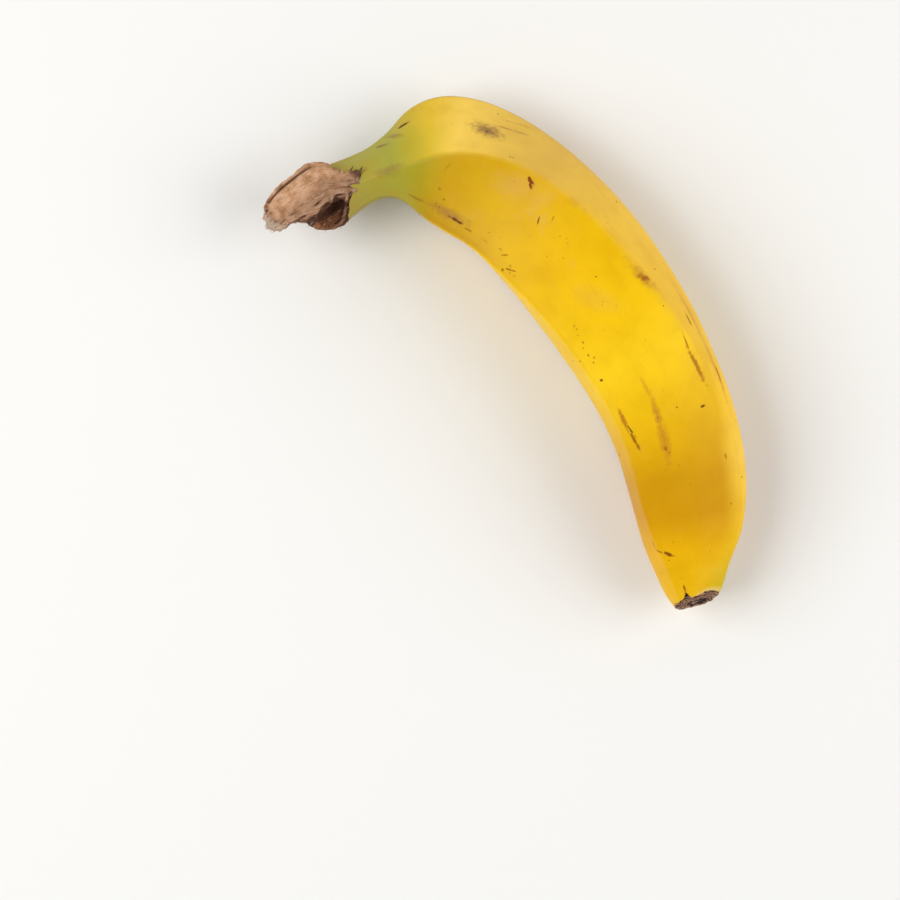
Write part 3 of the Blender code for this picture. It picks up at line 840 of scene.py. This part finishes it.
def tongue_rings():
    """The tongue's rings, with a groove and a rolled rim along its outer edge."""
    at = np.linspace(0, len(TONGUE) - 1, TONGUE_RINGS)
    values = through([(k, *row) for k, row in enumerate(TONGUE)], at)
    outer, inner, low, high = values[:, :2], values[:, 2:4], values[:, 4:5], values[:, 5:]
    across = unit(inner - outer)
    wobble = EDGE_WOBBLE * np.array([[noise.noise((row * 2.7, side, 1)) for side in (0, 5)] for row in at])
    outer, inner = outer - across * wobble[:, :1], inner + across * wobble[:, 1:]
    angle = np.linspace(0, 2 * math.pi, TONGUE_POINTS, endpoint=False)
    share, rise = 0.5 - 0.5 * np.cos(angle), np.sin(angle)
    plan = outer[:, None] + (inner - outer)[:, None] * share[:, None]
    edge = low + (high - low) * EDGE_HEIGHT
    cut = (smoothstep(*GROOVE_START, at) * (1 - smoothstep(*GROOVE_END, at)))[:, None]
    groove = GROOVE[2] * cut * np.exp(-((share - GROOVE[0]) / GROOVE[1]) ** 2)
    over = edge + np.abs(rise) ** TOP_SQUARENESS * (high - edge) - groove
    under = edge - np.abs(rise) ** KEEL_SQUARENESS * (edge - low)
    return np.dstack([plan, np.where(rise > 0, over, under)])


stalk_past, stalk_share = np.array(STALK_END + COLLAR).T
stalk_at = np.maximum(stalk_past, 0)
stalk_rings = bare_rings(stalk_at, stalk_share[:, None, None], np.minimum(stalk_past, 0)[:, None])
stalk_end = as_object("stalk_end", ring_mesh("stalk_end", settled(stalk_rings, stalk_at)))
scoop = bmesh.new()
bmesh.ops.create_icosphere(scoop, subdivisions=4, radius=1)
hollow_turn = Matrix.Rotation(math.radians(HOLLOW_TURN), 3, "Z")
scoop.transform(Matrix.LocRotScale(Vector(HOLLOW_CENTRE) * MM, hollow_turn, Vector(HOLLOW_RADII) * MM))
scoop_object = as_object("scoop", bpy.data.meshes.new("scoop"))
scoop.to_mesh(scoop_object.data)
scoop.free()
cut = stalk_end.modifiers.new("hollow", "BOOLEAN")
cut.operation = "DIFFERENCE"
cut.object = scoop_object
cut.solver = "EXACT"
applied(stalk_end)
bpy.data.objects.remove(scoop_object)
print("stalk end:", len(stalk_end.data.polygons), "faces; tongue:", TONGUE_RINGS * TONGUE_POINTS)

# %% [markdown]
# Torn bundles of fibres stand out as spikes at both ends of the tongue. The rim of the hollow is one more
# such tube, laid on the stalk's end by looking straight down at it. All are remeshed into one even skin,
# which welds them as if they had grown together.

# %% Spikes, a rolled rim and one welded skin
# Each spike: its points in millimetres and its thickness at the root.
SPIKES = (
    (((-76.9, -12.6, 24.8), (-76.6, -10.9, 25.8), (-76.8, -9.6, 26.6), (-77.2, -8.6, 27.2)), 0.5),
    (((-75.4, -11.2, 24.6), (-74.7, -9.4, 25.4), (-74.6, -8.2, 26), (-75, -7.2, 26.2)), 0.55),
    (((-77.6, -13.2, 25), (-78.4, -12.2, 25.8), (-78.9, -11.8, 26.6)), 0.4),
    (((-74.6, -13.4, 25), (-73.2, -12.2, 25.4), (-72.2, -11.6, 25.3), (-71.6, -11.3, 24.6)), 1),
    (((-74.4, -15, 25), (-73, -14.2, 25.2), (-72.2, -13.7, 25), (-71.7, -13.5, 24.2)), 1),
    (((-73.8, -17, 24.8), (-72.6, -16.3, 24.8), (-71.9, -15.9, 24.4), (-71.4, -15.7, 23.6)), 0.85),
    (((-82.6, -37.8, 22.4), (-82.8, -39.2, 22), (-82.4, -40.1, 21.8)), 0.7),
    (((-84.8, -37, 22.6), (-85.2, -38.3, 22.4), (-85, -39.1, 22.9)), 0.7),
    (((-75.6, -19.2, 25.8), (-74.6, -20.2, 26.4), (-73.9, -21.7, 25.6), (-73.7, -23, 24.2)), 0.45),
)
SPIKE_SIDES = 8
SPIKE_LEAN = (0.3, 0.2, 1)
# The rim of the hollow in plan, from the tongue round to its lower side.
RIM_LINE = ((-72.3, -15.6), (-71.7, -17.2), (-70.3, -19.3), (-69.1, -21), (-68.2, -22.6), (-68.2, -24.6),
            (-69.3, -26.6), (-71.4, -28))
RIM_THICKNESS = 0.36
RIM_LOWEST = 12
RIM_FALLBACK = 18.5
VOXEL = 0.24


def along_points(points, steps):
    """A smooth path of many steps through a few points."""
    return through([(k, *point) for k, point in enumerate(points)], np.linspace(0, len(points) - 1, steps))


def spike_mesh(points, thickness):
    """A bent, tapering tube with closed ends."""
    path = along_points(points, 4 * len(points))
    runs = unit(np.gradient(path, axis=0))
    side = unit(np.cross(runs, SPIKE_LEAN))
    up = np.cross(side, runs)
    angle = np.linspace(0, 2 * math.pi, SPIKE_SIDES, endpoint=False)[:, None]
    radius = thickness * np.linspace(1, 0.35, len(path))[:, None, None]
    spread = side[:, None] * np.cos(angle) - up[:, None] * np.sin(angle)
    return ring_mesh("spike", path[:, None] + radius * spread)


stalk_surface = BVHTree.FromObject(stalk_end, bpy.context.evaluated_depsgraph_get())
rim_path = []
for x, y in RIM_LINE:
    hit = stalk_surface.ray_cast(Vector((x, y, 60)) * MM, Vector((0, 0, -1)))[0]
    rim_path.append((x, y, hit.z / MM if hit and hit.z / MM > RIM_LOWEST else RIM_FALLBACK))
print("height of the rim, mm:", [round(z, 1) for _, _, z in rim_path])
joined = bmesh.new()
joined.from_mesh(stalk_end.data)
bpy.data.objects.remove(stalk_end)
joined.from_mesh(ring_mesh("tongue", tongue_rings()))
for points, thickness in (*SPIKES, (rim_path, RIM_THICKNESS)):
    joined.from_mesh(spike_mesh(points, thickness))
bmesh.ops.recalc_face_normals(joined, faces=joined.faces)
crown = as_object("dry_crown", bpy.data.meshes.new("crown"))
joined.to_mesh(crown.data)
joined.free()
weld = crown.modifiers.new("weld", "REMESH")
weld.mode = "VOXEL"
weld.voxel_size = VOXEL * MM
soften = crown.modifiers.new("soften", "SMOOTH")
soften.factor = 0.5
soften.iterations = 3
applied(crown)
print("crown:", len(crown.data.vertices), "points,", len(crown.data.polygons), "faces")

# %% [markdown]
# The welded skin is creased by moving its points, as a sculptor would. First each point is told what it is.
# Its grain is its distance across the tongue's middle line, a shortened distance along it, and its height,
# so that noise read there comes out as long fibres. Its parts say how far it is in the hollow, on the rim,
# in the ear under the tongue, in the groove, on the lower side, or near a frayed end.

# %% What each point of the crown is
GRAIN_STRETCH = 0.14

mesh = crown.data
points = read(mesh.vertices, "co", 3) / MM
normals = read(mesh.vertex_normals, "vector", 3)
y = points[:, 1]
rows = np.array(TONGUE)[::-1]
outer_x, inner_x = (np.interp(y, rows[:, c + 1], rows[:, c]) for c in (0, 2))
across = points[:, 0] - np.interp(y, (rows[:, 1] + rows[:, 3]) / 2, (rows[:, 0] + rows[:, 2]) / 2)
grain = np.column_stack([across, y * GRAIN_STRETCH, points[:, 2]])
into_hollow = np.linalg.norm((points - HOLLOW_CENTRE) @ np.array(hollow_turn) / HOLLOW_RADII, axis=1)
hollow = 1 - smoothstep(1.02, 1.1, into_hollow)
ear = smoothstep(-0.9, 0.5, points[:, 0] - inner_x) * smoothstep(-32.5, -30.5, y)
ear = ear * (1 - smoothstep(-15.5, -13.5, y))
inside = np.maximum(ear, hollow)
from_rim = np.linalg.norm(points[:, None, :2] - along_points(rim_path, 40)[None, :, :2], axis=2).min(axis=1)
rim = (1 - smoothstep(0.2, 0.55, from_rim)) * smoothstep(14, 16, points[:, 2])
# A thin line just inside the rim, where shade is painted.
rim_inner_shade = np.exp(-((from_rim - 1) / 0.4) ** 2) * (into_hollow < 1.1) * smoothstep(-26, -23.5, y)
across_share = (points[:, 0] - outer_x) / (inner_x - outer_x)
groove = np.exp(-((across_share - GROOVE[0]) / GROOVE[1]) ** 2) * smoothstep(-35.5, -33, y)
groove = groove * (1 - smoothstep(-20, -16, y)) * (normals[:, 2] > 0)
lower_side = smoothstep(-1.5, 3, across + 0.12 * (y + 22))
beneath = smoothstep(0.1, -0.5, normals[:, 2])
frayed = smoothstep(-34, -39.5, y)
tip = smoothstep(-16.5, -11, y)
print("share of points in the hollow or the ear:", round(float((inside > 0.5).mean()), 2))

# %% [markdown]
# Fine fibres cover everything, broad folds grow towards the lower side and the frayed ends, the surface
# rises and falls in slow lumps, and three pits mark the lower end. What the material needs is kept on the
# points.

# %% Creases in the crown
FINE_FIBRE = 0.6
FINE_HEIGHT = 0.17
FOLD_WIDTH = 2.2
FOLD_HEIGHT = 0.85
LUMP_SIZE = 3
LUMP_HEIGHT = 0.55
# The pits: place in plan and radius in millimetres.
PITS = ((-86.6, -36.6, 0.9), (-88, -34.4, 0.8), (-84.4, -36.2, 0.6))
PIT_DEPTH = 0.9

fine = np.array([noise.fractal(p / FINE_FIBRE, 0.9, 2, 2) for p in grain * (1, 1, 0.7)])
folds = np.array([noise.ridged_multi_fractal(p / FOLD_WIDTH, 0.8, 2.2, 3, 1, 2) for p in grain]) - 1
lumps = np.array([noise.noise(p / LUMP_SIZE) for p in points])
folded = 0.06 + 0.94 * np.clip(lower_side + frayed * 0.5 + tip * 0.8 + beneath * 0.6, 0, 1)
folded = folded * (1 - 0.7 * inside) * (1 - 0.8 * smoothstep(-13, -11, y))
push = (fine * FINE_HEIGHT + folds * FOLD_HEIGHT) * folded + lumps * LUMP_HEIGHT * (0.3 + 0.7 * folded)
for pit_x, pit_y, radius in PITS:
    away = ((points[:, 0] - pit_x) ** 2 + (y - pit_y) ** 2) / radius ** 2
    push -= PIT_DEPTH * np.exp(-away) * (normals[:, 2] > 0.3)
moved = points + normals * push[:, None]
mesh.vertices.foreach_set("co", (moved * MM).ravel())
mesh.shade_smooth()
mesh.update()

# Painted shade: dark in the valleys of the creases, in the groove, in a line inside the rim and in the hollow
# under the tongue's edge; the tip is made darker too. It goes in the third channel of crown_parts.
crease_shade = np.clip(-0.9 * folds - 0.5 * fine - 0.1, 0, 1) * folded
dark_tip = 0.55 * smoothstep(-13, -9.5, moved[:, 1])
tongue_shadow = inside * (1 - smoothstep(0.8, 3.4, moved[:, 0] - inner_x))
shade_and_dark_tip = np.max([crease_shade, groove * 0.65, dark_tip, rim_inner_shade, 0.8 * tongue_shadow], axis=0)
rim = rim * np.clip(0.7 + 1.2 * lumps, 0.2, 1) * (0.4 + 0.6 * smoothstep(-26.5, -23, moved[:, 1]))
fray = np.clip(frayed * 1.2 + tip * 0.3 + lower_side * 0.5, 0, 1) * (1 - hollow)
put(mesh, "grain", "FLOAT_VECTOR", grain)
put(mesh, "fray", "FLOAT", fray)
put(mesh, "crown_parts", "FLOAT_COLOR", np.column_stack([inside, rim, shade_and_dark_tip, np.ones(len(points))]))
print("creases, mm:", round(float(push.min()), 2), "to", round(float(push.max()), 2))

# %% [markdown]
# Dry crown tissue is dead plant fibre, torn and dried in the air, close to weathered wood: matt, tan where it
# is smooth, grey-brown on its lower side and ends, whitish where it frays, and dark brown in the hollow,
# where sap dried. Painted shade makes its creases, its groove, a line inside the rim and the hollow under the
# tongue black-brown. The colours run along the grain.

# %% The crown's finish
PATCH_SIZE = 3.2
BUNDLE_WIDTH = 0.45

crown_material, add, shader = new_material("dried crown tissue")
crown.data.materials.append(crown_material)
place = add("TexCoord").outputs["Object"]
grain = add("Attribute", attribute_name="grain").outputs["Vector"]
fray = add("Attribute", attribute_name="fray").outputs["Fac"]
kinds = add("Attribute", attribute_name="crown_parts").outputs["Color"]
inside, rim, shade_and_dark_tip = add("SeparateColor", (kinds,)).outputs
patches = add("TexNoise", (place, 1 / (PATCH_SIZE * MM), 5, 0.6))
fibres = add("TexNoise", (grain, 1 / BUNDLE_WIDTH, 4, 0.65))
weathered, sap, rim_tint = (add("ValToRGB", (fibres,), tones) for tones in (
    ((0.36, "#3C2418"), (0.47, "#704E3A"), (0.55, "#9C765C"), (0.66, "#D0B49C")),
    ((0.38, "#4A220C"), (0.5, "#7E4A28"), (0.62, "#AE7E58")),
    ((0.34, "#6E4A36"), (0.5, "#96705A"), (0.66, "#C0A08C"))))
streaks = add("MapRange", (fibres, 0.47, 0.64, 0, 0.52))
greyed = add("Math", (fray, 0.9), operation="MULTIPLY")
bleached = add("MapRange", (fray, 0.75, 1, 0, 0.45))
# The third channel is painted shade, and the darker tip, laid on as near-black brown.
shade_cover = add("MapRange", (shade_and_dark_tip, 0.08, 0.6, 0, 0.85), **SMOOTH)
colours = add("ValToRGB", (patches,),
              ((0.3, "#8C603E"), (0.48, "#BC8C64"), (0.6, "#CEA280"), (0.76, "#B08A6C")))
for cover, tint in ((streaks, colour("#7A5A44")), (greyed, weathered), (bleached, colour("#D2BEAA")),
                    (inside, sap), (shade_cover, colour("#42200E")), (rim, rim_tint)):
    colours = add("Mix", (cover, colours, tint), data_type="RGBA")
bump = add("Bump", {"Strength": 0.8, "Distance": 0.0003, "Height": fibres})
fill(shader, {"Base Color": colours, "Normal": bump, "Roughness": 0.82, "IOR": 1.45})
print("nodes in the crown:", len(crown_material.node_tree.nodes))

# %% [markdown]
# Loose fibres stand off the frayed places like threads on torn cloth. Geometry Nodes scatter points there,
# and on each goes a short bent strand that lies along the grain and tapers to its end. The seed is fixed,
# so the same threads come each time.

# %% Loose fibres on the crown
STRAND_SIZES = {"Strand Length": 1.4, "Strand Width": 0.14}
STRANDS_PER_M2 = 300000.0
STRAND_SEED = 5
ARCH = 0.16
TINT_SIZE = 1.5

scatter, add, given = new_group("loose fibres", {"Strand Length": "Float", "Strand Width": "Float",
                                                 "Density": "Float", "Seed": "Int"})
frayed_here = add("GeometryNodeInputNamedAttribute", {"Name": "fray"}, data_type="FLOAT")
density = add("Math", (frayed_here, given["Density"]), operation="MULTIPLY")
roots = add("GeometryNodeDistributePointsOnFaces",
            {"Mesh": given["Geometry"], "Density": density, "Seed": given["Seed"]})
lean, size = (
    add("FunctionNodeRandomValue", {"Min": low, "Max": high, "Seed": given["Seed"]}, data_type=kind)
    for low, high, kind in (((-0.5, -1.3, -0.1), (0.3, -0.5, 0.6), "FLOAT_VECTOR"), (0.35, 1, "FLOAT")))
turn = add("FunctionNodeAlignRotationToVector", {"Vector": lean}, axis="X")
half, arch, radius = (add("Math", (given["Strand " + size_name], share), operation="MULTIPLY")
                      for size_name, share in (("Length", 0.5), ("Length", ARCH), ("Width", 0.5)))
middle = add("CombineXYZ", {"X": half, "Z": arch})
end = add("CombineXYZ", {"X": given["Strand Length"]})
strand = add("GeometryNodeCurveQuadraticBezier",
             {"Resolution": 7, "Start": (0, 0, 0), "Middle": middle, "End": end})
along = add("GeometryNodeSplineParameter").outputs["Factor"]
taper = add("MapRange", (along, 0, 1, 1, 0.25))
tapered = add("GeometryNodeSetCurveRadius", {"Curve": strand, "Radius": taper})
outline = add("GeometryNodeCurvePrimitiveCircle", {"Resolution": 5, "Radius": radius})
tube = add("GeometryNodeCurveToMesh", {"Curve": tapered, "Profile Curve": outline, "Fill Caps": True})
placed = add("GeometryNodeInstanceOnPoints",
             {"Points": roots.outputs["Points"], "Instance": tube, "Rotation": turn, "Scale": size})

# Single dry plant fibres, pulled out of the tissue as it tore: matt and paler than the mass of them.
thread_material, add, shader = new_material("loose dry plant fibre")
place = add("TexCoord").outputs["Object"]
tint = add("ValToRGB", (add("TexNoise", (place, 1 / (TINT_SIZE * MM))),),
           ((0.35, "#8E6C50"), (0.5, "#BEA084"), (0.65, "#E2D0B8")))
fill(shader, {"Base Color": tint, "Roughness": 0.8})
end_group(scatter, placed, thread_material)
strand_inputs = {name: size * MM for name, size in STRAND_SIZES.items()}
threads = frozen("crown_fibres", crown.data.copy(), scatter,
                 {**strand_inputs, "Density": STRANDS_PER_M2, "Seed": STRAND_SEED})
print("loose fibres:", len(threads.data.polygons), "faces")

# %% [markdown]
# At the other end the flower fell off and left a dry stub inside the peel's rim, with wavy ridges in rings,
# like the end of a cut rope, and a knob at its side. The rings come from one wave along a short profile,
# shifted by noise so that they wander, merge and break, and crumble in the middle.

# %% The blossom scar
# Each row: a count, push past the last station, and share of full size.
SCAR_PROFILE = ((0, 1.4, 0.7), (1, 3, 0.725), (2, 4.2, 0.705), (3, 5, 0.64), (4, 5.5, 0.52), (5, 5.6, 0.36),
                (6, 5.4, 0.18), (6.5, 5.3, 0.03))
SCAR_RINGS = 110
RIDGE_SPACING = 0.92
RIDGE_HEIGHT = 0.3
KNOB_PLACE = (84.6, -32.4)
KNOB_RADIUS = 1.3
KNOB_HEIGHT = 0.9
BREAK_SHIFT = Vector((7, 3, 1))
CRUMB_SIZE = 0.7

profile = through(SCAR_PROFILE, np.linspace(0, SCAR_PROFILE[-1][0], SCAR_RINGS))
width = profile[:, 1:]
stub = bare_rings(np.full(SCAR_RINGS, PEEL_LENGTH), width[:, :, None], profile[:, :1])
steps = np.linalg.norm(np.diff(stub, axis=0), axis=2).mean(axis=1)
walked = np.concatenate([[0], np.cumsum(steps)])[:, None]
stub_out = unit(np.cross(np.roll(stub, -1, axis=1) - np.roll(stub, 1, axis=1), np.gradient(stub, axis=0)))
wander = np.array([[noise.noise(p / 2.6) + 0.5 * noise.noise(p / 0.9) for p in ring] for ring in stub])
broken = np.array([[noise.noise(p / 1.3 + BREAK_SHIFT) for p in ring] for ring in stub])
wave = np.sin(2 * math.pi * (walked / RIDGE_SPACING + 1.2 * wander)) * (0.75 + 0.8 * broken)
crumbled = 1 - smoothstep(0.25, 0.5, width)
wave = wave * (1 - crumbled) + crumbled * (2 * wander + 1.5 * broken - 0.6)
settle = smoothstep(1, 3.5, walked) * np.minimum(1, width / 0.3)
knob = KNOB_HEIGHT * np.exp(-((stub[:, :, :2] - KNOB_PLACE) ** 2).sum(axis=2) / KNOB_RADIUS ** 2)
stub = stub + stub_out * ((wave * RIDGE_HEIGHT + wander * 0.5) * settle + knob)[:, :, None]
scar = as_object("blossom_scar", ring_mesh("blossom_scar", stub))
crest = (0.5 + 0.5 * wave) * smoothstep(2.2, 3.4, walked)
put(scar.data, "crest", "FLOAT", [*crest.ravel(), 0.5, 0.5])

# The flower's base dried where it broke off: matt black-brown tissue with worn, greyish crests.
scar_material, add, shader = new_material("dried flower base")
scar.data.materials.append(scar_material)
place = add("TexCoord").outputs["Object"]
crumbs = add("TexNoise", (place, 1 / (CRUMB_SIZE * MM), 4))
worn_crest = add("Attribute", attribute_name="crest").outputs["Fac"]
mixed = add("Math", (crumbs, 0.7, worn_crest), operation="MULTIPLY_ADD")
tint = add("ValToRGB", (mixed,), ((0.36, "#1C0C06"), (0.66, "#42240F"), (0.92, "#7C543C"), (1, "#9C7860")))
bump = add("Bump", {"Strength": 0.6, "Distance": 0.00012, "Height": crumbs})
fill(shader, {"Base Color": tint, "Normal": bump, "Roughness": 0.85})
print("nodes in the scar:", len(scar_material.node_tree.nodes), " points:", len(scar.data.vertices))

# %% [markdown]
# Last, each piece is fastened to the fruit's body and takes the solid's place.

# %% Fasten the pieces to the frame and finish
for piece, slot in ((peel, "peel"), (crown, "dry_crown"), (threads, "dry_crown"), (scar, "blossom_scar")):
    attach(piece, "root")
    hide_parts("banana")
